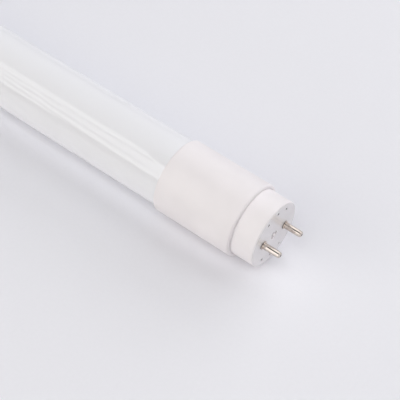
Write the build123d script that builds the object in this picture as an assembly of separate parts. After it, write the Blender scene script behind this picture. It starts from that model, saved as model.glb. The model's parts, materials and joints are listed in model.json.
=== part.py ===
from build123d import *
import math
import os

# A straight LED lamp of the T8 size, 600 mm class, with a two-pin cap at each end.
# It lies along X on its two end sleeves, with the driver's end at +X and the surface at Z = 0.
# The origin is under the middle of the lamp. Sizes are in millimetres and degrees.

# Whole lamp
FACE_TO_FACE = 589.8  # between the outer faces of the two end caps
CAP_ROLL = -10.0  # how far the line through the pins is turned about the lamp's axis

# Glass tube
GLASS_OD = 26.0
GLASS_WALL = 1.0

# Sleeve, glued over the end of the glass
SLEEVE_WALL = 0.8
SLEEVE_LENGTH = 32.0
SLEEVE_LIP = 1.2  # thickness of the inward lip that holds the cap
SLEEVE_EDGE_ROUND = 0.35  # at the end on the glass
SLEEVE_NOSE_ROUND = 0.9  # at the end where the ring comes out
GLUE_THICKNESS = 0.2
GLUE_SETBACK = 4.0  # from the end of the glass to the glue
GLUE_MARGIN = 3.3  # from the glue to the sleeve's open end

# End cap
RING_STEP = 1.4  # how far the ring's surface lies inside the sleeve's
RING_LENGTH = 9.0  # how far the ring stands out of the sleeve
RING_WALL = 1.2
RING_EDGE_ROUND = 0.5
FACE_THICKNESS = 1.5
LIP_CLEARANCE = 0.1  # all round, between the ring and the sleeve's lip
FLANGE_THICKNESS = 1.5
FLANGE_CLEARANCE = 0.1  # all round, between the flange and the sleeve's bore
SPIGOT_LENGTH = 8.0  # the part of the cap that centres the glass
SPIGOT_CLEARANCE = 0.15
SPIGOT_WALL = 1.2

# Details of the cap's face
VENT_HOLE_DIAMETER = 1.0
VENT_CIRCLE_RADIUS = 10.0
VENT_SPREAD = 31.0  # degrees between neighbouring holes of one group
DIMPLE_DIAMETER = 3.2
DIMPLE_DEPTH = 0.4
GATE_NUB_DIAMETER = 1.1
GATE_NUB_HEIGHT = 0.65

# Contact pins
PIN_SPACING = 12.7
PIN_DIAMETER = 2.35
PIN_LENGTH = 7.1  # outside the face
PIN_COLLAR_RIM = 0.425  # how far the collar stands out of the shank
PIN_COLLAR_THICKNESS = 0.5
PIN_HEAD_RIM = 0.325  # of the head that is riveted over on the inside of the face
PIN_HEAD_THICKNESS = 0.5
PIN_TAIL_LENGTH = 2.5  # inside the face
PIN_TAPER_LENGTH = 0.9
PIN_TAPER_DEPTH = 0.1  # how far the taper draws the shank in
PIN_TIP_LENGTH = 0.45
PIN_TIP_DEPTH = 0.3  # how far the very end lies inside the shank
PIN_TIP_ROUND = 0.35
PIN_TIP_HOLE_DIAMETER = 0.7
PIN_TIP_HOLE_DEPTH = 1.2
PIN_LEAD_BORE_DEPTH = 2.0

# LED board, bonded to the inner wall of the glass
LED_BOARD_GAP = 10.2  # from the end of each cap's spigot
LED_BOARD_WIDTH = 10.0
LED_BOARD_THICKNESS = 1.0
LED_COUNT = 48
LED_END_MARGIN = 6.5  # from the end of the board to the middle of the last LED
LED_LENGTH = 3.5
LED_WIDTH = 2.8
LED_HEIGHT = 0.7
LED_RIM = 0.4  # between the phosphor window and the edge of the package
LED_WINDOW_DEPTH = 0.4

# Driver board, held by two slotted rails in the cap
DRIVER_LENGTH = 34.0
DRIVER_WIDTH = 17.0
DRIVER_THICKNESS = 1.0
DRIVER_DROP = 3.0  # from the lamp's axis to the middle of the board
RAIL_GRIP = 1.0  # how far the rails reach over the edge of the board
RAIL_JAW = 0.8  # thickness of the rail above and below the board

# Parts on top of the driver board, in three rows along it
FIRST_PART = 10.0  # from the board's outer end to the first part of each row
PART_GAP = 1.2  # between parts of one row
POWER_ROW = -4.2  # y of the row with the varistor, the choke and the bulk capacitor
FILTER_ROW = 2.4  # y of the film capacitor
OUTPUT_ROW = 4.2  # y of the output capacitor
FUSE_ROW = 6.9  # y of the fuse resistor
VARISTOR_DIAMETER = 6.4
VARISTOR_THICKNESS = 3.0
VARISTOR_ROUND = 0.7
CHOKE_DIAMETER = 7.6
CHOKE_POST_DIAMETER = 3.2
CHOKE_HEIGHT = 7.0
CHOKE_FLANGE = 1.2
CHOKE_WINDING_DIAMETER = 6.6
BULK_DIAMETER = 8.0
BULK_LENGTH = 10.5
OUTPUT_DIAMETER = 6.3
OUTPUT_LENGTH = 9.0
CAN_EDGE_ROUND = 0.4
CAN_GROOVE_START = 1.4  # from the seal end of a can to its rolled groove
CAN_GROOVE_WIDTH = 0.8
CAN_GROOVE_DEPTH = 0.35
FILM_LENGTH = 9.0
FILM_WIDTH = 4.0
FILM_HEIGHT = 7.0
FILM_EDGE_ROUND = 0.5
FUSE_LENGTH = 6.5
FUSE_END_DIAMETER = 2.3
FUSE_END_LENGTH = 1.4
FUSE_MIDDLE_DIAMETER = 1.9

# Parts under the driver board: length along the lamp, width and height
BRIDGE_SIZE = (4.7, 3.8, 1.6)
BRIDGE_PLACE = (11.0, 0.0)  # along the board from its outer end, and across it
DRIVER_CHIP_SIZE = (4.9, 3.9, 1.5)
DRIVER_CHIP_PLACE = (20.0, 4.6)
DIODE_SIZE = (4.3, 2.6, 2.1)
DIODE_PLACE = (19.0, -4.4)
SENSE_RESISTOR_SIZE = (1.6, 3.2, 0.6)
SENSE_RESISTOR_PLACE = (15.0, -0.6)  # of the first one
SENSE_RESISTOR_COUNT = 3
SENSE_RESISTOR_PITCH = 2.4
CHIP_EDGE_SHARE = 0.15  # of a part's height that its top bevel takes
LEG_PITCH = 1.27
LEG_WIDTH = 0.42
LEG_SPAN = 6.0  # across both rows of the driver chip's legs
LEG_HEIGHT = 0.5
LEGS_PER_SIDE = 4

# Wires
PIN_WIRE_DIAMETER = 0.8
PIN_WIRE_CLEARANCE = 0.05
LED_WIRE_DIAMETER = 1.0
PIN_WIRE_LANDING = 6.5  # from the driver board's outer end to the pins' wires
LED_WIRE_SETBACK = 7.5  # from the driver board's inner end to the LED wires
LED_WIRE_SPACING = 6.0
LED_WIRE_INSET = 2.5  # from the end of the LED board to the LED wires
LED_WIRE_STRAIGHT = 1.9  # straight run at each end of an LED wire
LINK_DEPTH = 5.0  # how far the far end's link wire reaches in from the pins' tails

# Sizes that follow from the ones above
SLEEVE_OD = GLASS_OD + 2 * (GLUE_THICKNESS + SLEEVE_WALL)
RING_OD = SLEEVE_OD - 2 * RING_STEP
AXIS_HEIGHT = SLEEVE_OD / 2
GLASS_BORE_RADIUS = GLASS_OD / 2 - GLASS_WALL
SLEEVE_BORE_RADIUS = GLASS_OD / 2 + GLUE_THICKNESS
RING_BORE_RADIUS = RING_OD / 2 - RING_WALL
FLANGE_RADIUS = SLEEVE_BORE_RADIUS - FLANGE_CLEARANCE
FLANGE_START = RING_LENGTH + SLEEVE_LIP
GLASS_START = FLANGE_START + FLANGE_THICKNESS
GLASS_LENGTH = FACE_TO_FACE - 2 * GLASS_START
SPIGOT_RADIUS = GLASS_BORE_RADIUS - SPIGOT_CLEARANCE
SPIGOT_BORE_RADIUS = SPIGOT_RADIUS - SPIGOT_WALL
SPIGOT_END = GLASS_START + SPIGOT_LENGTH
LED_BOARD_LENGTH = FACE_TO_FACE - 2 * (SPIGOT_END + LED_BOARD_GAP)
LED_PITCH = (LED_BOARD_LENGTH - 2 * LED_END_MARGIN) / (LED_COUNT - 1)
LED_BOARD_BACK = math.sqrt(GLASS_BORE_RADIUS**2 - (LED_BOARD_WIDTH / 2) ** 2)
LED_BOARD_TOP = LED_BOARD_BACK - LED_BOARD_THICKNESS
DRIVER_TOP = -DRIVER_DROP + DRIVER_THICKNESS / 2
DRIVER_UNDERSIDE = -DRIVER_DROP - DRIVER_THICKNESS / 2
PIN_BORE_END = FACE_THICKNESS + PIN_TAIL_LENGTH - PIN_LEAD_BORE_DEPTH

# Pieces of an end are drawn in a frame of their own: x runs from the cap's outer face into
# the lamp, y runs along the line through the pins and z is across it, away from the LED board.
ROLL = Pos(0, 0, AXIS_HEIGHT) * Rot(CAP_ROLL, 0, 0)
FRONT_END = ROLL * Pos(FACE_TO_FACE / 2, 0, 0) * Rot(0, 0, 180)
REAR_END = ROLL * Pos(-FACE_TO_FACE / 2, 0, 0)

parts = {}


def turned(points, rounds=()):
    """A solid of revolution about x from (x, radius) points, with some corners rounded."""
    profile = make_face(Polyline(*points, close=True))
    for x, radius, rounding in rounds:
        corner = profile.vertices().sort_by_distance((x, radius, 0))[0]
        profile = fillet(corner, rounding)
    return revolve(profile, Axis.X)


def block(x_range, y_range, z_range):
    """A box between two values on each axis."""
    size = [high - low for low, high in (x_range, y_range, z_range)]
    middle = [(high + low) / 2 for low, high in (x_range, y_range, z_range)]
    return Pos(*middle) * Box(*size)


def rod(start, end_x, radius):
    """A round bar along x from a start point."""
    x, y, z = start
    length = end_x - x
    return Pos(x + length / 2, y, z) * Rot(0, 90, 0) * Cylinder(radius, length)


def wire(points, diameter):
    """A round wire through the given points, with each bend as large as its two runs allow."""
    spots = [Vector(*point) for point in points]
    radii = []
    for before, corner, after in zip(spots, spots[1:], spots[2:]):
        turn = math.radians((corner - before).get_angle(after - corner))
        shorter_run = min((corner - before).length, (after - corner).length)
        radii.append(0.45 * shorter_run / math.tan(turn / 2))
    route = FilletPolyline(*spots, radius=radii)
    section = Plane(origin=spots[0], z_dir=spots[1] - spots[0]) * Circle(diameter / 2)
    return sweep(section, path=route)


def on_both_ends(name, shape):
    """Adds a piece to the front and to the rear of the lamp."""
    parts["front_" + name] = FRONT_END * shape
    parts["rear_" + name] = REAR_END * shape


def glass_tube():
    """The plain glass tube, from one cap's flange to the other's."""
    end = GLASS_LENGTH / 2
    points = [
        (-end, GLASS_BORE_RADIUS),
        (-end, GLASS_OD / 2),
        (end, GLASS_OD / 2),
        (end, GLASS_BORE_RADIUS),
    ]
    return ROLL * turned(points)


def sleeve():
    """The plastic sleeve: a thin tube with an inward lip that the cap's flange bears on."""
    outer = SLEEVE_OD / 2
    lip_bore = RING_OD / 2 + LIP_CLEARANCE
    end = RING_LENGTH + SLEEVE_LENGTH
    points = [
        (RING_LENGTH, lip_bore),
        (RING_LENGTH, outer),
        (end, outer),
        (end, SLEEVE_BORE_RADIUS),
        (FLANGE_START, SLEEVE_BORE_RADIUS),
        (FLANGE_START, lip_bore),
    ]
    edges = [(RING_LENGTH, outer, SLEEVE_NOSE_ROUND), (end, outer, SLEEVE_EDGE_ROUND)]
    return turned(points, edges)


def sleeve_glue():
    """The ring of glue between the sleeve and the glass."""
    start = GLASS_START + GLUE_SETBACK
    end = RING_LENGTH + SLEEVE_LENGTH - GLUE_MARGIN
    points = [
        (start, GLASS_OD / 2),
        (start, SLEEVE_BORE_RADIUS),
        (end, SLEEVE_BORE_RADIUS),
        (end, GLASS_OD / 2),
    ]
    return turned(points)


def cap_shell():
    """The moulded cup: face, ring, flange behind the sleeve's lip and spigot in the glass."""
    ring = RING_OD / 2
    points = [
        (0, 0),
        (0, ring),
        (FLANGE_START, ring),
        (FLANGE_START, FLANGE_RADIUS),
        (GLASS_START, FLANGE_RADIUS),
        (GLASS_START, SPIGOT_RADIUS),
        (SPIGOT_END, SPIGOT_RADIUS),
        (SPIGOT_END, SPIGOT_BORE_RADIUS),
        (FLANGE_START, SPIGOT_BORE_RADIUS),
        (FLANGE_START, RING_BORE_RADIUS),
        (FACE_THICKNESS, RING_BORE_RADIUS),
        (FACE_THICKNESS, 0),
    ]
    return turned(points, [(0, ring, RING_EDGE_ROUND)])


def cap_rails():
    """Two rails inside the ring, which take the edges of the driver board once slotted."""
    inner_edge = DRIVER_WIDTH / 2 - RAIL_GRIP
    levels = (DRIVER_UNDERSIDE - RAIL_JAW, DRIVER_TOP + RAIL_JAW)
    rail = block((FACE_THICKNESS, FLANGE_START), (inner_edge, RING_OD / 2), levels)
    rail += mirror(rail, Plane.XZ)
    into_the_wall = RING_BORE_RADIUS + RING_WALL / 2
    return rail & rod((FACE_THICKNESS, 0, 0), FLANGE_START, into_the_wall)


def driver_slot():
    """The room for the driver board, cut through the rails and whatever of the cap it meets."""
    edge = DRIVER_WIDTH / 2
    return block((FACE_THICKNESS, SPIGOT_END), (-edge, edge), (DRIVER_UNDERSIDE, DRIVER_TOP))


def cap():
    """The whole end cap, with its pin holes, six vent holes and the dimple of the gate."""
    body = cap_shell() + cap_rails() - driver_slot()
    for side in (-1, 1):
        hole_start = (0, side * PIN_SPACING / 2, 0)
        body -= rod(hole_start, FACE_THICKNESS, PIN_DIAMETER / 2)
        for step in (-1, 0, 1):
            angle = math.radians(90 * side + VENT_SPREAD * step)
            y = VENT_CIRCLE_RADIUS * math.cos(angle)
            z = VENT_CIRCLE_RADIUS * math.sin(angle)
            body -= rod((0, y, z), FACE_THICKNESS, VENT_HOLE_DIAMETER / 2)
    body -= rod((0, 0, 0), DIMPLE_DEPTH, DIMPLE_DIAMETER / 2)
    nub_start = DIMPLE_DEPTH - GATE_NUB_HEIGHT
    return body + rod((nub_start, 0, 0), DIMPLE_DEPTH, GATE_NUB_DIAMETER / 2)


def pin(side):
    """A hollow contact pin: narrowed tip, shank, collar, riveted head and tail for the wire."""
    shank = PIN_DIAMETER / 2
    tip_start = -PIN_LENGTH + PIN_TIP_LENGTH
    tail_end = FACE_THICKNESS + PIN_TAIL_LENGTH
    head_end = FACE_THICKNESS + PIN_HEAD_THICKNESS
    bore = PIN_WIRE_DIAMETER / 2 + PIN_WIRE_CLEARANCE
    points = [
        (-PIN_LENGTH + PIN_TIP_HOLE_DEPTH, 0),
        (-PIN_LENGTH + PIN_TIP_HOLE_DEPTH, PIN_TIP_HOLE_DIAMETER / 2),
        (-PIN_LENGTH, PIN_TIP_HOLE_DIAMETER / 2),
        (-PIN_LENGTH, shank - PIN_TIP_DEPTH),
        (tip_start, shank - PIN_TAPER_DEPTH),
        (tip_start + PIN_TAPER_LENGTH, shank),
        (-PIN_COLLAR_THICKNESS, shank),
        (-PIN_COLLAR_THICKNESS, shank + PIN_COLLAR_RIM),
        (0, shank + PIN_COLLAR_RIM),
        (0, shank),
        (FACE_THICKNESS, shank),
        (FACE_THICKNESS, shank + PIN_HEAD_RIM),
        (head_end, shank + PIN_HEAD_RIM),
        (head_end, shank),
        (tail_end, shank),
        (tail_end, bore),
        (PIN_BORE_END, bore),
        (PIN_BORE_END, 0),
    ]
    tip = [(-PIN_LENGTH, shank - PIN_TIP_DEPTH, PIN_TIP_ROUND)]
    return Pos(0, side * PIN_SPACING / 2, 0) * turned(points, tip)


def pin_wire(side):
    """The wire from the bore in a pin's tail to its landing on top of the driver board."""
    y = side * PIN_SPACING / 2
    landing = FACE_THICKNESS + PIN_WIRE_LANDING
    route = [(PIN_BORE_END, y, 0), (landing, y, 0), (landing, y, DRIVER_TOP)]
    return wire(route, PIN_WIRE_DIAMETER)


def rear_pin_link():
    """The wire that joins the two pins of the far end."""
    turn_back = FACE_THICKNESS + PIN_TAIL_LENGTH + LINK_DEPTH
    y = PIN_SPACING / 2
    route = [(PIN_BORE_END, -y, 0), (turn_back, -y, 0), (turn_back, y, 0), (PIN_BORE_END, y, 0)]
    return wire(route, PIN_WIRE_DIAMETER)


def led_board():
    """The aluminium strip that carries the LEDs, lying across the bottom of the bore."""
    half_length = LED_BOARD_LENGTH / 2
    half_width = LED_BOARD_WIDTH / 2
    levels = (-LED_BOARD_BACK, -LED_BOARD_TOP)
    return ROLL * block((-half_length, half_length), (-half_width, half_width), levels)


def led_adhesive():
    """The bed of adhesive that fills the space between the strip and the curved glass."""
    half_length = LED_BOARD_LENGTH / 2
    half_width = LED_BOARD_WIDTH / 2
    below = block(
        (-half_length, half_length),
        (-half_width, half_width),
        (-GLASS_BORE_RADIUS, -LED_BOARD_BACK),
    )
    return ROLL * (below & rod((-half_length, 0, 0), half_length, GLASS_BORE_RADIUS))


def led_places():
    """The x of each LED along the lamp."""
    first = -(LED_COUNT - 1) * LED_PITCH / 2
    return [first + number * LED_PITCH for number in range(LED_COUNT)]


def led_window(x):
    """The block of phosphor in the top of one LED package."""
    reach_x = LED_LENGTH / 2 - LED_RIM
    reach_y = LED_WIDTH / 2 - LED_RIM
    top = -LED_BOARD_TOP + LED_HEIGHT
    levels = (top - LED_WINDOW_DEPTH, top)
    return block((x - reach_x, x + reach_x), (-reach_y, reach_y), levels)


def led_packages():
    """The white bodies of the LEDs, each with a pocket for its phosphor."""
    bodies = []
    for x in led_places():
        reach = LED_LENGTH / 2
        levels = (-LED_BOARD_TOP, -LED_BOARD_TOP + LED_HEIGHT)
        body = block((x - reach, x + reach), (-LED_WIDTH / 2, LED_WIDTH / 2), levels)
        bodies.append(ROLL * (body - led_window(x)))
    return Compound(bodies)


def led_phosphors():
    """The phosphor windows of all the LEDs."""
    return Compound([ROLL * led_window(x) for x in led_places()])


def led_wire(side):
    """A wire from the underside of the driver board down to the end of the LED board."""
    y = side * LED_WIRE_SPACING / 2
    start = FACE_THICKNESS + DRIVER_LENGTH - LED_WIRE_SETBACK
    landing = FACE_TO_FACE / 2 - LED_BOARD_LENGTH / 2 + LED_WIRE_INSET
    route = [
        (start, y, DRIVER_UNDERSIDE),
        (start, y, DRIVER_UNDERSIDE - LED_WIRE_STRAIGHT),
        (landing, y, -LED_BOARD_TOP + LED_WIRE_STRAIGHT),
        (landing, y, -LED_BOARD_TOP),
    ]
    return wire(route, LED_WIRE_DIAMETER)


def driver_board():
    """The circuit board, from the inside of the cap's face into the glass."""
    half_width = DRIVER_WIDTH / 2
    length = (FACE_THICKNESS, FACE_THICKNESS + DRIVER_LENGTH)
    return block(length, (-half_width, half_width), (DRIVER_UNDERSIDE, DRIVER_TOP))


def on_board(x, y):
    """A place on top of the driver board, x measured from its outer end."""
    return Pos(FACE_THICKNESS + x, y, DRIVER_TOP)


def under_board(x, y):
    """A place on the underside of the driver board, with z pointing down from it."""
    return Pos(FACE_THICKNESS + x, y, DRIVER_UNDERSIDE) * Rot(180, 0, 0)


def chip(length, width, height):
    """A moulded block that sits on z = 0, with a bevel round its top."""
    body = Pos(0, 0, height / 2) * Box(length, width, height)
    return chamfer(body.faces().sort_by(Axis.Z)[-1].edges(), height * CHIP_EDGE_SHARE)


def fuse_resistor():
    """A lying resistor with thicker end caps."""
    end_radius = FUSE_END_DIAMETER / 2
    middle_radius = FUSE_MIDDLE_DIAMETER / 2
    points = [
        (0, 0),
        (0, end_radius),
        (FUSE_END_LENGTH, end_radius),
        (FUSE_END_LENGTH, middle_radius),
        (FUSE_LENGTH - FUSE_END_LENGTH, middle_radius),
        (FUSE_LENGTH - FUSE_END_LENGTH, end_radius),
        (FUSE_LENGTH, end_radius),
        (FUSE_LENGTH, 0),
    ]
    return on_board(FIRST_PART, FUSE_ROW) * Pos(0, 0, end_radius) * turned(points)


def varistor():
    """A coated disc that stands on its edge."""
    radius = VARISTOR_DIAMETER / 2
    points = [(0, 0), (0, radius), (VARISTOR_THICKNESS, radius), (VARISTOR_THICKNESS, 0)]
    rounds = [(0, radius, VARISTOR_ROUND), (VARISTOR_THICKNESS, radius, VARISTOR_ROUND)]
    disc = turned(points, rounds)
    return on_board(FIRST_PART, POWER_ROW) * Pos(0, 0, radius) * disc


def film_capacitor():
    """A boxed capacitor with rounded upright edges."""
    body = Pos(FILM_LENGTH / 2, 0, FILM_HEIGHT / 2) * Box(FILM_LENGTH, FILM_WIDTH, FILM_HEIGHT)
    body = fillet(body.edges().filter_by(Axis.Z), FILM_EDGE_ROUND)
    return on_board(FIRST_PART, FILTER_ROW) * body


def choke_place():
    """The middle of the choke, which stands behind the varistor."""
    x = FIRST_PART + VARISTOR_THICKNESS + PART_GAP + CHOKE_DIAMETER / 2
    return on_board(x, POWER_ROW) * Pos(0, 0, CHOKE_HEIGHT / 2)


def choke_gap(diameter):
    """A ring round the choke's post, between its two flanges."""
    height = CHOKE_HEIGHT - 2 * CHOKE_FLANGE
    return Cylinder(diameter / 2, height) - Cylinder(CHOKE_POST_DIAMETER / 2, height)


def choke_core():
    """A drum core of ferrite with two flanges."""
    drum = Cylinder(CHOKE_DIAMETER / 2, CHOKE_HEIGHT) - choke_gap(CHOKE_DIAMETER)
    return choke_place() * drum


def choke_winding():
    """The copper winding, which fills the drum core between its flanges."""
    return choke_place() * choke_gap(CHOKE_WINDING_DIAMETER)


def lying_can(diameter, length):
    """A lying aluminium capacitor with the rolled groove above its seal."""
    radius = diameter / 2
    points = [
        (0, 0),
        (0, radius),
        (CAN_GROOVE_START, radius),
        (CAN_GROOVE_START + CAN_GROOVE_WIDTH / 2, radius - CAN_GROOVE_DEPTH),
        (CAN_GROOVE_START + CAN_GROOVE_WIDTH, radius),
        (length, radius),
        (length, 0),
    ]
    can = turned(points, [(0, radius, CAN_EDGE_ROUND), (length, radius, CAN_EDGE_ROUND)])
    return Pos(0, 0, radius) * can


def bulk_capacitor():
    """The larger can, across the rectified mains, behind the choke."""
    x = FIRST_PART + VARISTOR_THICKNESS + CHOKE_DIAMETER + 2 * PART_GAP
    return on_board(x, POWER_ROW) * lying_can(BULK_DIAMETER, BULK_LENGTH)


def output_capacitor():
    """The smaller can, across the row of LEDs, behind the film capacitor."""
    x = FIRST_PART + FILM_LENGTH + PART_GAP
    return on_board(x, OUTPUT_ROW) * lying_can(OUTPUT_DIAMETER, OUTPUT_LENGTH)


def bridge_rectifier():
    """A flat rectifier under the board."""
    return under_board(*BRIDGE_PLACE) * chip(*BRIDGE_SIZE)


def driver_chip():
    """The eight-legged controller under the board."""
    body = chip(*DRIVER_CHIP_SIZE)
    for leg in range(LEGS_PER_SIDE):
        x = (leg - (LEGS_PER_SIDE - 1) / 2) * LEG_PITCH
        body += Pos(x, 0, LEG_HEIGHT / 2) * Box(LEG_WIDTH, LEG_SPAN, LEG_HEIGHT)
    return under_board(*DRIVER_CHIP_PLACE) * body


def freewheel_diode():
    """The output diode under the board."""
    return under_board(*DIODE_PLACE) * chip(*DIODE_SIZE)


def sense_resistors():
    """Flat resistors side by side under the board."""
    x, y = SENSE_RESISTOR_PLACE
    steps = [number * SENSE_RESISTOR_PITCH for number in range(SENSE_RESISTOR_COUNT)]
    return Compound([under_board(x + step, y) * chip(*SENSE_RESISTOR_SIZE) for step in steps])


parts["glass_tube"] = glass_tube()
on_both_ends("sleeve", sleeve())
on_both_ends("sleeve_glue", sleeve_glue())
on_both_ends("cap", cap())

# Left and right are as seen from the front, so the front frame's y is turned about.
parts["front_pin_left"] = FRONT_END * pin(1)
parts["front_pin_right"] = FRONT_END * pin(-1)
parts["rear_pin_left"] = REAR_END * pin(-1)
parts["rear_pin_right"] = REAR_END * pin(1)
parts["pin_wire_left"] = FRONT_END * pin_wire(1)
parts["pin_wire_right"] = FRONT_END * pin_wire(-1)
parts["rear_pin_link"] = REAR_END * rear_pin_link()

parts["led_board"] = led_board()
parts["led_adhesive"] = led_adhesive()
parts["led_packages"] = led_packages()
parts["led_phosphors"] = led_phosphors()
parts["led_wire_positive"] = FRONT_END * led_wire(1)
parts["led_wire_negative"] = FRONT_END * led_wire(-1)

parts["driver_board"] = FRONT_END * driver_board()
for make in (
    fuse_resistor,
    varistor,
    film_capacitor,
    choke_core,
    choke_winding,
    bulk_capacitor,
    output_capacitor,
    bridge_rectifier,
    driver_chip,
    freewheel_diode,
    sense_resistors,
):
    parts[make.__name__] = FRONT_END * make()

os.makedirs("parts", exist_ok=True)
for name, shape in parts.items():
    export_step(shape, f"parts/{name}.step")
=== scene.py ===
# The looks of the LED tube lamp: its materials, the pale floor, the studio light and the camera.
# Everything is in metres, with the lamp along X and its photographed end at +X.

import json
import math

import bpy
from mathutils import Matrix, Vector


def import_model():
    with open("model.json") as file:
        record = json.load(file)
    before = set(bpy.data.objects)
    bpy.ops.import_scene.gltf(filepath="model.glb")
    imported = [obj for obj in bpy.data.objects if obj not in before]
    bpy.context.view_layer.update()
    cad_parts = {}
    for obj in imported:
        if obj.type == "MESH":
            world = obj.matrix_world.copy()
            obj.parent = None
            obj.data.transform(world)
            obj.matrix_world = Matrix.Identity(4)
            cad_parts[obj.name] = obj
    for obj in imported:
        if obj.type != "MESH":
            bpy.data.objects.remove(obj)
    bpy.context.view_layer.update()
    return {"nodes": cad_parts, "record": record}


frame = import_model()
nodes = frame["nodes"]

# The lamp. A shade is what a tint multiplies the colour by.
LAMP_AXIS_HEIGHT = 0.014
FACE_CENTRE = Vector((0.2949, 0.0, LAMP_AXIS_HEIGHT))  # of the photographed end's flat face
SHARP_ANGLE = math.radians(30.0)  # an edge that turns by more than this stays sharp
FAR_SIDE_PAINTED_SHADE = 0.965  # painted shade on the glass and sleeve, on the side away from the camera

# The glass. Its underside is painted paler: painted light in place of the light that comes through milky
# glass.
GLASS_COAT = 0.75
GLASS_RIM_COAT = 0.25
UNDERSIDE_PAINTED_LIGHT = 1.075

# The caps
PLASTIC_COLOUR = (0.915, 0.873, 0.883)
CAP_ROUGHNESS = 0.42
POLISHED_DEPTH = 0.0001  # how far in from a cap's face its mould is polished
POLISHED_ROUGHNESS = 0.03
# Painted shade: the cap's flat face is painted darker than its ring.
FACE_PAINTED_SHADE = 0.95
POLISHED_GRAIN = 0.1  # the share of the plastic's grain that is left there
HOLLOW_RADIUS = 0.0115  # the cap's plastic within it is only seen in the holes of its face
# painted shade in the holes of the face
HOLLOW_PAINTED_SHADE = 0.5
DIMPLE_RADIUS = 0.0018
# painted shade in the dimple
DIMPLE_PAINTED_SHADE = 0.87
NUB_START = FACE_CENTRE.x + 0.00005  # what stands farther out than this on a cap is its gate nub
# a painted highlight: the gate nub is painted paler
NUB_PAINTED_HIGHLIGHT = 1.2

# The pins
PIN_SPACING = 0.0127
PIN_LINE_TURN = math.radians(10.0)  # of the line through the pins, against the floor
PIN_TIP_START = FACE_CENTRE.x + 0.0058
PIN_HOLE_RADIUS = 0.00045
# painted shade in the hole in each pin's tip
PIN_HOLE_PAINTED_SHADE = 0.3
COLLAR_END = FACE_CENTRE.x + 0.0004
# painted shade on the near side of each pin's collar
COLLAR_PAINTED_SHADE = 0.42

# Each pair is how much of the surface's normal lies along an axis, where a change starts and is full. The
# changes are painted light on the glass's underside, painted shade on the far sides and on the collars'
# near side, and a thinner coat on the glass's far rim.
UNDERSIDE = (0.12, -0.2)  # along Z, and the rest along Y
GLASS_FAR_SIDE = (0.3, 0.75)
GLASS_FAR_RIM = (0.5, 0.72)
SLEEVE_FAR_SIDE = (0.3, 0.6)
COLLAR_NEAR_SIDE = (0.6, -0.2)

# Where in a noise pattern a change of colour starts and ends
RAMP_START = 0.35
RAMP_END = 0.65

# The photograph's camera
IMAGE_SIZE = 400  # pixels, each way
FOCAL_PIXELS = 1296.7
SENSOR_WIDTH_MM = 36.0
CAMERA_HEADING = math.radians(37.523)
CAMERA_ELEVATION = math.radians(53.964)
FACE_PIXEL = (273.995, 234.713)
FACE_DEPTH = 0.436453  # from the camera to the face's centre, along the camera's line of sight


# Node helpers

def new_material(name, colour, roughness, metallic=0.0):
    """A material with one plain Principled shader, for the functions below to build on."""
    made = bpy.data.materials.new(name)
    made.use_nodes = True
    shader = made.node_tree.nodes["Principled BSDF"]
    shader.inputs["Base Color"].default_value = (*colour, 1.0)
    shader.inputs["Roughness"].default_value = roughness
    shader.inputs["Metallic"].default_value = metallic
    return made


def shader_of(made):
    return made.node_tree.nodes["Principled BSDF"]


def noise(made, scale, stretch=(1.0, 1.0, 1.0), detail=3.0):
    """A noise pattern over the piece's own metres: scale is in ripples a metre."""
    tree = made.node_tree
    place = tree.nodes.new("ShaderNodeTexCoord")
    mapping = tree.nodes.new("ShaderNodeMapping")
    mapping.inputs["Scale"].default_value = stretch
    pattern = tree.nodes.new("ShaderNodeTexNoise")
    pattern.inputs["Scale"].default_value = scale
    pattern.inputs["Detail"].default_value = detail
    tree.links.new(place.outputs["Object"], mapping.inputs["Vector"])
    tree.links.new(mapping.outputs["Vector"], pattern.inputs["Vector"])
    return pattern.outputs["Fac"]


def remap(made, value, low, high, from_low=0.3, from_high=0.7):
    """The value, stretched so that from_low becomes low and from_high becomes high."""
    tree = made.node_tree
    node = tree.nodes.new("ShaderNodeMapRange")
    node.inputs["From Min"].default_value = from_low
    node.inputs["From Max"].default_value = from_high
    node.inputs["To Min"].default_value = low
    node.inputs["To Max"].default_value = high
    tree.links.new(value, node.inputs["Value"])
    return node.outputs["Result"]


def vary_colour(made, value, first, second):
    """The base colour goes from first to second as the pattern rises."""
    tree = made.node_tree
    ramp = tree.nodes.new("ShaderNodeValToRGB")
    ramp.color_ramp.elements[0].position = RAMP_START
    ramp.color_ramp.elements[0].color = (*first, 1.0)
    ramp.color_ramp.elements[1].position = RAMP_END
    ramp.color_ramp.elements[1].color = (*second, 1.0)
    tree.links.new(value, ramp.inputs["Fac"])
    tree.links.new(ramp.outputs["Color"], shader_of(made).inputs["Base Color"])


def vary_roughness(made, value, low, high, from_low=0.3, from_high=0.7):
    """The roughness goes from low to high as the value goes from from_low to from_high."""
    rough = remap(made, value, low, high, from_low, from_high)
    made.node_tree.links.new(rough, shader_of(made).inputs["Roughness"])


def emboss(made, value, depth, socket="Normal"):
    """Raises the surface by the pattern, by up to depth in metres."""
    tree = made.node_tree
    bump = tree.nodes.new("ShaderNodeBump")
    bump.inputs["Strength"].default_value = 1.0
    bump.inputs["Distance"].default_value = depth
    tree.links.new(value, bump.inputs["Height"])
    tree.links.new(bump.outputs["Normal"], shader_of(made).inputs[socket])


def calculate(made, operation, first, second):
    """One step of arithmetic. Either value may be a number or the output of a node."""
    tree = made.node_tree
    step = tree.nodes.new("ShaderNodeMath")
    step.operation = operation
    for socket, value in zip(step.inputs, (first, second)):
        if isinstance(value, float):
            socket.default_value = value
        else:
            tree.links.new(value, socket)
    return step.outputs["Value"]


def place_on_lamp(made):
    """X, Y and Z over the piece, in metres of the lamp's own frame."""
    tree = made.node_tree
    place = tree.nodes.new("ShaderNodeTexCoord")
    split = tree.nodes.new("ShaderNodeSeparateXYZ")
    tree.links.new(place.outputs["Object"], split.inputs["Vector"])
    return split.outputs


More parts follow.
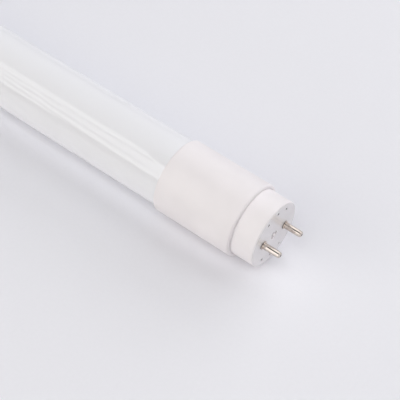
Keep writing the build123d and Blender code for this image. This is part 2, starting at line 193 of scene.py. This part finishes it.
def beyond(made, distance):
    """1 where the lamp's surface is farther than distance from its middle along X, and 0 elsewhere."""
    along = calculate(made, "ABSOLUTE", place_on_lamp(made)["X"], 0.0)
    return calculate(made, "GREATER_THAN", along, distance)


def on_the_faces(made):
    """1 on the caps' flat outer faces and 0 on the rest of the lamp."""
    return beyond(made, FACE_CENTRE.x - POLISHED_DEPTH)


def within_radius(made, radius):
    """1 within that radius of the lamp's axis and 0 outside it."""
    place = place_on_lamp(made)
    up = calculate(made, "SUBTRACT", place["Z"], LAMP_AXIS_HEIGHT)
    squares = [calculate(made, "MULTIPLY", value, value) for value in (place["Y"], up)]
    return calculate(made, "LESS_THAN", calculate(made, "ADD", *squares), radius * radius)


def near_a_pin_axis(made, radius):
    """1 within that radius of the axis of either pin and 0 elsewhere."""
    place = place_on_lamp(made)
    up = calculate(made, "SUBTRACT", place["Z"], LAMP_AXIS_HEIGHT)
    turn = (math.cos(PIN_LINE_TURN), math.sin(PIN_LINE_TURN))
    y_part, z_part = [calculate(made, "MULTIPLY", place["Y"], part) for part in turn]
    z_across, y_across = [calculate(made, "MULTIPLY", up, part) for part in turn]
    along_line = calculate(made, "ABSOLUTE", calculate(made, "SUBTRACT", y_part, y_across), 0.0)
    off_pin = calculate(made, "SUBTRACT", along_line, PIN_SPACING / 2)
    off_line = calculate(made, "ADD", z_part, z_across)
    squares = [calculate(made, "MULTIPLY", value, value) for value in (off_pin, off_line)]
    return calculate(made, "LESS_THAN", calculate(made, "ADD", *squares), radius * radius)


def inside_the_face(made):
    """1 behind the caps' flat outer faces and 0 on them."""
    return calculate(made, "SUBTRACT", 1.0, on_the_faces(made))


def tint(made, mask, factor):
    """Multiplies the base colour by factor where the mask is 1."""
    tree = made.node_tree
    colour = shader_of(made).inputs["Base Color"]
    mix = tree.nodes.new("ShaderNodeMix")
    mix.data_type = "RGBA"
    mix.blend_type = "MULTIPLY"
    by_type = [socket for socket in mix.inputs if socket.type == "RGBA"]
    by_type[1].default_value = (factor, factor, factor, 1.0)
    tree.links.new(mask, mix.inputs["Factor"])
    tree.links.new(colour.links[0].from_socket, by_type[0])
    result = [socket for socket in mix.outputs if socket.type == "RGBA"][0]
    tree.links.new(result, colour)


def facing(made, axis, start, full):
    """0 where the surface's normal has start along that axis, up to 1 where it has full."""
    tree = made.node_tree
    place = tree.nodes.new("ShaderNodeTexCoord")
    split = tree.nodes.new("ShaderNodeSeparateXYZ")
    tree.links.new(place.outputs["Normal"], split.inputs["Vector"])
    return remap(made, split.outputs[axis], 0.0, 1.0, start, full)


def shade(colour, factor):
    """A colour, made darker or lighter."""
    return tuple(part * factor for part in colour)


def dress(name, made):
    """Gives a CAD node its material."""
    slots = nodes[name].data.materials
    slots.clear()
    slots.append(made)


def smooth(name):
    """Rounds the shading of a node's curved faces and keeps its edges sharp."""
    mesh = nodes[name].data
    mesh.shade_smooth()
    mesh.set_sharp_from_angle(angle=SHARP_ANGLE)


# Materials

def milky_glass():
    """Glass frosted white on its inside, with the slight lengthwise ripple of a drawn tube."""
    made = new_material("milky_glass", (0.89, 0.89, 0.915), 0.5)
    shader = shader_of(made).inputs
    shader["Coat Roughness"].default_value = 0.02
    shader["Specular IOR Level"].default_value = 0.0
    cloud = noise(made, 60.0, stretch=(0.3, 1.0, 1.0))
    vary_colour(made, cloud, (0.886, 0.886, 0.911), (0.896, 0.896, 0.921))
    ripple = noise(made, 160.0, stretch=(0.03, 1.0, 1.0), detail=1.0)
    emboss(made, ripple, 0.000005, socket="Coat Normal")
    # Painted light: the glass's underside is painted paler.
    tint(made, facing(made, "Z", *UNDERSIDE), UNDERSIDE_PAINTED_LIGHT)
    # Painted shade on the glass's far side.
    tint(made, facing(made, "Y", *GLASS_FAR_SIDE), FAR_SIDE_PAINTED_SHADE)
    far_rim = facing(made, "Y", *GLASS_FAR_RIM)
    gloss = remap(made, far_rim, GLASS_COAT, GLASS_RIM_COAT, 0.0, 1.0)
    made.node_tree.links.new(gloss, shader["Coat Weight"])
    return made


def moulded_plastic(name, colour, roughness):
    """Satin moulded plastic with a fine spark-eroded grain."""
    made = new_material(name, colour, roughness)
    cloud = noise(made, 90.0)
    vary_colour(made, cloud, shade(colour, 0.985), shade(colour, 1.015))
    grain = noise(made, 4000.0, detail=2.0)
    emboss(made, grain, 0.000006)
    return made


def warm_white_plastic():
    """The sleeve: satin, with the faint lengthwise lines of its mould."""
    smoothest, roughest = 0.38, 0.48
    made = moulded_plastic("warm_white_plastic", PLASTIC_COLOUR, smoothest)
    shader_of(made).inputs["Specular IOR Level"].default_value = 0.35
    drawn = noise(made, 700.0, stretch=(0.05, 1.0, 1.0))
    vary_roughness(made, drawn, smoothest, roughest)
    # Painted shade on the sleeve's far side.
    tint(made, facing(made, "Y", *SLEEVE_FAR_SIDE), FAR_SIDE_PAINTED_SHADE)
    return made


def white_plastic():
    """The cap: satin on its ring and polished on its flat face, with painted shade on the face, in its
    holes and in the dimple, and a painted highlight on the gate nub.
    """
    made = moulded_plastic("white_plastic", PLASTIC_COLOUR, CAP_ROUGHNESS)
    shader = shader_of(made).inputs
    behind_face = inside_the_face(made)
    dimple = within_radius(made, DIMPLE_RADIUS)
    hollow = calculate(made, "SUBTRACT", within_radius(made, HOLLOW_RADIUS), dimple)
    # Painted shade inside the cap, seen in the holes of its face.
    tint(made, calculate(made, "MULTIPLY", hollow, behind_face), HOLLOW_PAINTED_SHADE)
    # Painted shade in the dimple.
    tint(made, calculate(made, "MULTIPLY", dimple, behind_face), DIMPLE_PAINTED_SHADE)
    # Painted highlight on the gate nub.
    tint(made, beyond(made, NUB_START), NUB_PAINTED_HIGHLIGHT)
    face = on_the_faces(made)
    # Painted shade on the flat face.
    tint(made, face, FACE_PAINTED_SHADE)
    vary_roughness(made, face, CAP_ROUGHNESS, POLISHED_ROUGHNESS, 0.0, 1.0)
    made.node_tree.links.new(face, shader["Coat Weight"])
    grain = shader["Normal"].links[0].from_node
    grain_left = remap(made, face, 1.0, POLISHED_GRAIN, 0.0, 1.0)
    made.node_tree.links.new(grain_left, grain.inputs["Strength"])
    return made


def plated_brass():
    """Nickel over brass, with fine turning marks round the pin, painted shade on its collar's near side
    and painted shade in the hole in its tip.
    """
    dull, bright = (0.61, 0.545, 0.485), (0.70, 0.63, 0.57)
    smoothest, roughest = 0.02, 0.06
    made = new_material("nickel_plated_brass", bright, smoothest, metallic=1.0)
    tarnish = noise(made, 900.0, detail=4.0)
    vary_colour(made, tarnish, dull, bright)
    turning = noise(made, 6000.0, stretch=(1.0, 0.08, 0.08))
    vary_roughness(made, turning, smoothest, roughest)
    tip = beyond(made, PIN_TIP_START)
    hole = calculate(made, "MULTIPLY", tip, near_a_pin_axis(made, PIN_HOLE_RADIUS))
    # Painted shade in the hole in the tip.
    tint(made, hole, PIN_HOLE_PAINTED_SHADE)
    collar = calculate(made, "SUBTRACT", 1.0, beyond(made, COLLAR_END))
    near_side = facing(made, "Y", *COLLAR_NEAR_SIDE)
    # Painted shade on the collar's near side.
    tint(made, calculate(made, "MULTIPLY", collar, near_side), COLLAR_PAINTED_SHADE)
    return made


def clear_glue():
    made = new_material("clear_glue", (0.80, 0.79, 0.76), 0.35)
    bubbles = noise(made, 500.0)
    vary_colour(made, bubbles, (0.74, 0.73, 0.70), (0.84, 0.83, 0.80))
    emboss(made, bubbles, 0.00003)
    return made


def white_adhesive():
    made = new_material("white_adhesive", (0.82, 0.82, 0.80), 0.5)
    smear = noise(made, 220.0, stretch=(0.4, 1.0, 1.0))
    vary_colour(made, smear, (0.76, 0.76, 0.74), (0.86, 0.86, 0.84))
    emboss(made, smear, 0.00008)
    return made


def masked_board(name, dark, light):
    """A circuit board under its solder mask, with the faint relief of the tracks below."""
    made = new_material(name, light, 0.3)
    tracks = noise(made, 350.0, detail=0.0)
    vary_colour(made, tracks, dark, light)
    emboss(made, tracks, 0.00002)
    return made


def led_body():
    made = new_material("led_body", (0.85, 0.85, 0.82), 0.45)
    grain = noise(made, 3000.0)
    vary_colour(made, grain, (0.80, 0.80, 0.77), (0.88, 0.88, 0.85))
    emboss(made, grain, 0.000004)
    return made


def phosphor():
    made = new_material("phosphor", (0.85, 0.66, 0.12), 0.4)
    powder = noise(made, 9000.0)
    vary_colour(made, powder, (0.78, 0.56, 0.08), (0.90, 0.74, 0.22))
    emboss(made, powder, 0.000005)
    return made


def speckled(name, dark, light, roughness, scale=1500.0, depth=0.00001):
    """Cast resin, lacquer or pressed powder: a fine speckle in colour and in relief."""
    made = new_material(name, light, roughness)
    speckle = noise(made, scale)
    vary_colour(made, speckle, dark, light)
    emboss(made, speckle, depth)
    return made


def brushed_metal(name, dark, light, low, high, stretch):
    """Metal whose roughness goes from low to high over its brushing or drawing marks."""
    made = new_material(name, light, low, metallic=1.0)
    brushing = noise(made, 2500.0, stretch=stretch)
    vary_colour(made, brushing, dark, light)
    vary_roughness(made, brushing, low, high)
    return made


# The stretch of the marks on a drawn wire and on a turned can
LENGTHWISE = (0.1, 1.0, 1.0)
CROSSWISE = (1.0, 0.1, 0.1)

materials = {
    "milky_glass": milky_glass(),
    "warm_white_plastic": warm_white_plastic(),
    "white_plastic": white_plastic(),
    "nickel_plated_brass": plated_brass(),
    "clear_glue": clear_glue(),
    "white_adhesive": white_adhesive(),
    "white_masked_aluminium": masked_board(
        "white_masked_aluminium", (0.80, 0.80, 0.79), (0.87, 0.87, 0.86)
    ),
    "led_body": led_body(),
    "phosphor": phosphor(),
    "board_green": masked_board("board_green", (0.02, 0.16, 0.06), (0.04, 0.26, 0.10)),
    "resistor_green": speckled("resistor_green", (0.16, 0.33, 0.20), (0.24, 0.44, 0.29), 0.35),
    "varistor_blue": speckled("varistor_blue", (0.05, 0.16, 0.45), (0.09, 0.24, 0.60), 0.2),
    "film_yellow": speckled("film_yellow", (0.72, 0.50, 0.08), (0.84, 0.62, 0.14), 0.25),
    "ferrite": speckled("ferrite", (0.05, 0.05, 0.05), (0.10, 0.10, 0.10), 0.6, depth=0.00003),
    "copper_wire": brushed_metal(
        "copper_wire", (0.55, 0.22, 0.10), (0.78, 0.38, 0.20), 0.2, 0.4, LENGTHWISE
    ),
    "can_aluminium": brushed_metal(
        "can_aluminium", (0.55, 0.56, 0.60), (0.70, 0.71, 0.75), 0.3, 0.5, CROSSWISE
    ),
    "chip_black": speckled("chip_black", (0.02, 0.02, 0.02), (0.045, 0.045, 0.045), 0.5),
    "tinned_wire": brushed_metal(
        "tinned_wire", (0.60, 0.60, 0.60), (0.78, 0.78, 0.78), 0.25, 0.45, LENGTHWISE
    ),
    "red_wire": speckled("red_wire", (0.42, 0.03, 0.03), (0.58, 0.05, 0.05), 0.35),
    "black_wire": speckled("black_wire", (0.015, 0.015, 0.015), (0.035, 0.035, 0.035), 0.35),
}
for part in frame["record"]["subparts"]:
    dress(part["node"], materials[part["material_slot"]])
    smooth(part["node"])


# The floor

FLOOR_HALF_SIZE = 1.2
FLOOR_FADE_START = 0.5
FLOOR_FADE_END = 1.0


def fade_out(made, start, end):
    """Turns the surface clear between those distances from the piece's middle."""
    tree = made.node_tree
    place = tree.nodes.new("ShaderNodeTexCoord")
    distance = tree.nodes.new("ShaderNodeVectorMath")
    distance.operation = "LENGTH"
    tree.links.new(place.outputs["Object"], distance.inputs[0])
    clear = tree.nodes.new("ShaderNodeBsdfTransparent")
    mix = tree.nodes.new("ShaderNodeMixShader")
    clearness = remap(made, distance.outputs["Value"], 0.0, 1.0, start, end)
    tree.links.new(clearness, mix.inputs["Fac"])
    tree.links.new(shader_of(made).outputs["BSDF"], mix.inputs[1])
    tree.links.new(clear.outputs["BSDF"], mix.inputs[2])
    tree.links.new(mix.outputs["Shader"], tree.nodes["Material Output"].inputs["Surface"])


def floor_material():
    """A pale matt floor, which fades into the pale background well outside the lamp."""
    made = new_material("pale_floor", (0.88, 0.88, 0.92), 0.6)
    shader_of(made).inputs["Specular IOR Level"].default_value = 0.2
    fibre = noise(made, 900.0, detail=5.0)
    vary_colour(made, fibre, (0.875, 0.875, 0.915), (0.885, 0.885, 0.925))
    fade_out(made, FLOOR_FADE_START, FLOOR_FADE_END)
    return made


def flat_object(name, corners, made_material):
    """A single flat face with four corners, put into the scene."""
    mesh = bpy.data.meshes.new(name)
    mesh.from_pydata(corners, [], [(0, 1, 2, 3)])
    made = bpy.data.objects.new(name, mesh)
    bpy.context.scene.collection.objects.link(made)
    made.data.materials.append(made_material)
    return made


def floor(half_size):
    signs = [(-1, -1), (1, -1), (1, 1), (-1, 1)]
    corners = [(x * half_size, y * half_size, 0) for x, y in signs]
    flat_object("floor", corners, floor_material())


floor(FLOOR_HALF_SIZE)


# Light
#
# An angle round the lamp starts level on the far side, is 90 overhead and 180 level on the camera's side.
# A place along the lamp is measured from the target. The panels do the lighting and aren't mirrored.
# What gloss mirrors is set apart from them, in front of the pale background: the softbox with dark bars
# across it, the lights and the gap that the pins mirror, and two dark cards.

LIGHT_TARGET = Vector((0.23, 0.0, LAMP_AXIS_HEIGHT))
WHITE = (1.0, 1.0, 1.0)
COOL = (1.0, 1.0, 1.02)
WARM = (1.025, 1.0, 0.94)
WHITE_WATTS = 4.0  # of a square metre of light whose own face looks white

# The panels: angle, place along the lamp, brightness and colour
PANEL_DISTANCE = 1.3
PANEL_LENGTH = 0.9
PANEL_WIDTH = 0.55
PANEL_LEVEL = 0.99
END = 0.95
PANELS = (
    (12, 0.0, 1.65, COOL),
    (12, END, 0.95, COOL),
    (35, -END, 0.3, COOL),
    (35, 0.0, 1.95, COOL),
    (35, END, 1.1, COOL),
    (62, 0.0, 1.1, COOL),
    (62, END, 1.7, COOL),
    (112, 0.0, 2.05, COOL),
    (112, END, 1.55, COOL),
    (137, -END, 1.6, WARM),
    (137, 0.0, 1.15, WARM),
    (163, -END, 1.7, WARM),
    (163, 0.0, 0.72, WARM),
    (163, END, 0.15, WARM),
)

# The softbox over the lamp's near side, which the glass mirrors as its bright streak
SOFTBOX_ANGLE = 136.0
SOFTBOX_DISTANCE = 1.1
SOFTBOX_ALONG = -0.71
SOFTBOX_WIDTH = 1.2
SOFTBOX_LENGTH = 0.60
SOFTBOX_LEVEL = 1.9

# The bars across the softbox: the angle of each at its two ends
BAR_DISTANCE = 1.0
BAR_WIDTH = 0.045
BAR_START = -0.8
BAR_END = -0.41
BARS = (
    (134.5, 169.5),
    (128.0, 149.0),
    (127.5, 123.5),
)

# What the pins mirror: the name, angle, width and brightness of each light, and the dark gap between
PIN_VIEW_ALONG = 0.095
PIN_VIEW_LENGTH = 1.01
PIN_LIGHT_DISTANCE = 1.1
PIN_LIGHTS = (
    ("pin_window", 54.0, 1.2, 0.43),
    ("softbox_end", 151.0, 1.25, 0.59),
)
PIN_GAP_DISTANCE = 1.0
PIN_GAP_ANGLES = (86.0, 118.0)

# The dark cards, which stand on edge beside the lamp: name, Y, where it ends along X, and height
CARD_START = -0.5
CARDS = (
    ("near_card", -0.5, 0.06, 0.16),
    ("far_card", 0.5, 0.6, 0.05),
)
DARK = (0.02, 0.02, 0.02)
DARK_ROUGHNESS = 0.9

WORLD_LEVEL = 0.0
BACKGROUND_LEVEL = 0.85
BACKGROUND_COLOUR = (0.97, 0.97, 1.0, 1.0)


def round_the_lamp(angle, distance, along=0.0):
    """A place at that angle and distance from the target, and so far along the lamp from it."""
    turn = math.radians(angle)
    return LIGHT_TARGET + Vector((along, math.cos(turn) * distance, math.sin(turn) * distance))


def area_light(name, centre, target, width, length, brightness, colour, mirrored):
    """A flat lamp that faces target, with its length along X. At a brightness of 1 its face looks white.

    A mirrored one is only there in reflections, and the others only light.
    """
    data = bpy.data.lights.new(name, "AREA")
    data.shape = "RECTANGLE"
    data.size = length
    data.size_y = width
    data.energy = WHITE_WATTS * width * length * brightness
    data.color = colour
    made = bpy.data.objects.new(name, data)
    back = (centre - target).normalized()
    along = Vector((1.0, 0.0, 0.0))
    along = (along - back * along.dot(back)).normalized()
    turn = Matrix((along, back.cross(along), back)).transposed()
    made.matrix_world = Matrix.Translation(centre) @ turn.to_4x4()
    made.visible_camera = False
    made.visible_diffuse = not mirrored
    made.visible_glossy = mirrored
    bpy.context.scene.collection.objects.link(made)


def only_mirrored(name, corners):
    """A dark card that is only there in reflections, where it gives metal and glass their dark lines."""
    made = flat_object(name, corners, new_material(name, DARK, DARK_ROUGHNESS))
    made.visible_camera = False
    made.visible_diffuse = False
    made.visible_transmission = False
    made.visible_shadow = False


def panel(number, angle, along, brightness, colour):
    """One of the lights that do the lighting."""
    place = round_the_lamp(angle, PANEL_DISTANCE, along)
    level = PANEL_LEVEL * brightness
    area_light("panel_%02d" % number, place, LIGHT_TARGET, PANEL_WIDTH, PANEL_LENGTH, level, colour, False)


def mirrored_light(name, angle, distance, along, width, length, brightness):
    """A white light that is only mirrored, square to the lamp at that place along it."""
    place = round_the_lamp(angle, distance, along)
    middle = LIGHT_TARGET + Vector((along, 0.0, 0.0))
    area_light(name, place, middle, width, length, brightness, WHITE, True)


def softbox():
    size = (SOFTBOX_WIDTH, SOFTBOX_LENGTH)
    mirrored_light("softbox", SOFTBOX_ANGLE, SOFTBOX_DISTANCE, SOFTBOX_ALONG, *size, SOFTBOX_LEVEL)


def pin_surroundings():
    """What the pins mirror: a window on the far side, the end of the softbox and a dark gap between."""
    for name, angle, width, brightness in PIN_LIGHTS:
        size = (width, PIN_VIEW_LENGTH)
        mirrored_light(name, angle, PIN_LIGHT_DISTANCE, PIN_VIEW_ALONG, *size, brightness)
    low, high = [round_the_lamp(angle, PIN_GAP_DISTANCE, PIN_VIEW_ALONG) for angle in PIN_GAP_ANGLES]
    half = Vector((PIN_VIEW_LENGTH / 2, 0.0, 0.0))
    only_mirrored("pin_gap", [low - half, low + half, high + half, high - half])


def softbox_bar(number, start_angle, end_angle):
    """A thin dark bar across the softbox, which makes one of the fine lines in the streak."""
    start = round_the_lamp(start_angle, BAR_DISTANCE, BAR_START)
    end = round_the_lamp(end_angle, BAR_DISTANCE, BAR_END)
    out = round_the_lamp((start_angle + end_angle) / 2, BAR_DISTANCE) - LIGHT_TARGET
    side = out.cross(end - start).normalized() * BAR_WIDTH / 2
    only_mirrored("softbox_bar_%d" % number, [start - side, end - side, end + side, start + side])


def dark_card(name, y, end_x, height):
    """A card that stands on edge beside the lamp, from beyond its hidden end to end_x."""
    bottom = [(CARD_START, y, 0.0), (end_x, y, 0.0)]
    top = [(end_x, y, height), (CARD_START, y, height)]
    only_mirrored(name, bottom + top)


def world(level, background):
    """level lights the scene. The camera, metal and glass see the pale background in its place."""
    made = bpy.data.worlds.new("studio")
    made.use_nodes = True
    tree = made.node_tree
    shown = tree.nodes["Background"].inputs
    shown["Color"].default_value = BACKGROUND_COLOUR
    path = tree.nodes.new("ShaderNodeLightPath").outputs
    seen = calculate(made, "MAXIMUM", path["Is Camera Ray"], path["Is Glossy Ray"])
    seen = calculate(made, "MAXIMUM", seen, path["Is Transmission Ray"])
    tree.links.new(remap(made, seen, level, background, 0.0, 1.0), shown["Strength"])
    bpy.context.scene.world = made


for number, row in enumerate(PANELS):
    panel(number, *row)
softbox()
pin_surroundings()
for number, angles in enumerate(BARS):
    softbox_bar(number, *angles)
for row in CARDS:
    dark_card(*row)
world(WORLD_LEVEL, BACKGROUND_LEVEL)


# The camera

def photograph_camera():
    """The camera as fitted to the photograph, placed by where the face's centre is seen."""
    data = bpy.data.cameras.new("camera")
    data.sensor_width = SENSOR_WIDTH_MM
    data.lens = FOCAL_PIXELS * SENSOR_WIDTH_MM / IMAGE_SIZE
    data.clip_start = 0.01
    data.clip_end = 50.0
    right = Vector((math.cos(CAMERA_HEADING), math.sin(CAMERA_HEADING), 0.0))
    level = Vector((-math.sin(CAMERA_HEADING), math.cos(CAMERA_HEADING), 0.0))
    forward = level * math.cos(CAMERA_ELEVATION) - Vector((0.0, 0.0, math.sin(CAMERA_ELEVATION)))
    up = right.cross(forward)
    half = IMAGE_SIZE / 2
    across = (FACE_PIXEL[0] - half) / FOCAL_PIXELS * FACE_DEPTH
    down = (FACE_PIXEL[1] - half) / FOCAL_PIXELS * FACE_DEPTH
    place = FACE_CENTRE - right * across + up * down - forward * FACE_DEPTH
    made = bpy.data.objects.new("camera", data)
    turn = Matrix((right, up, -forward)).transposed()
    made.matrix_world = Matrix.Translation(place) @ turn.to_4x4()
    bpy.context.scene.collection.objects.link(made)
    bpy.context.scene.camera = made


photograph_camera()
bpy.context.scene.view_settings.view_transform = "Standard"
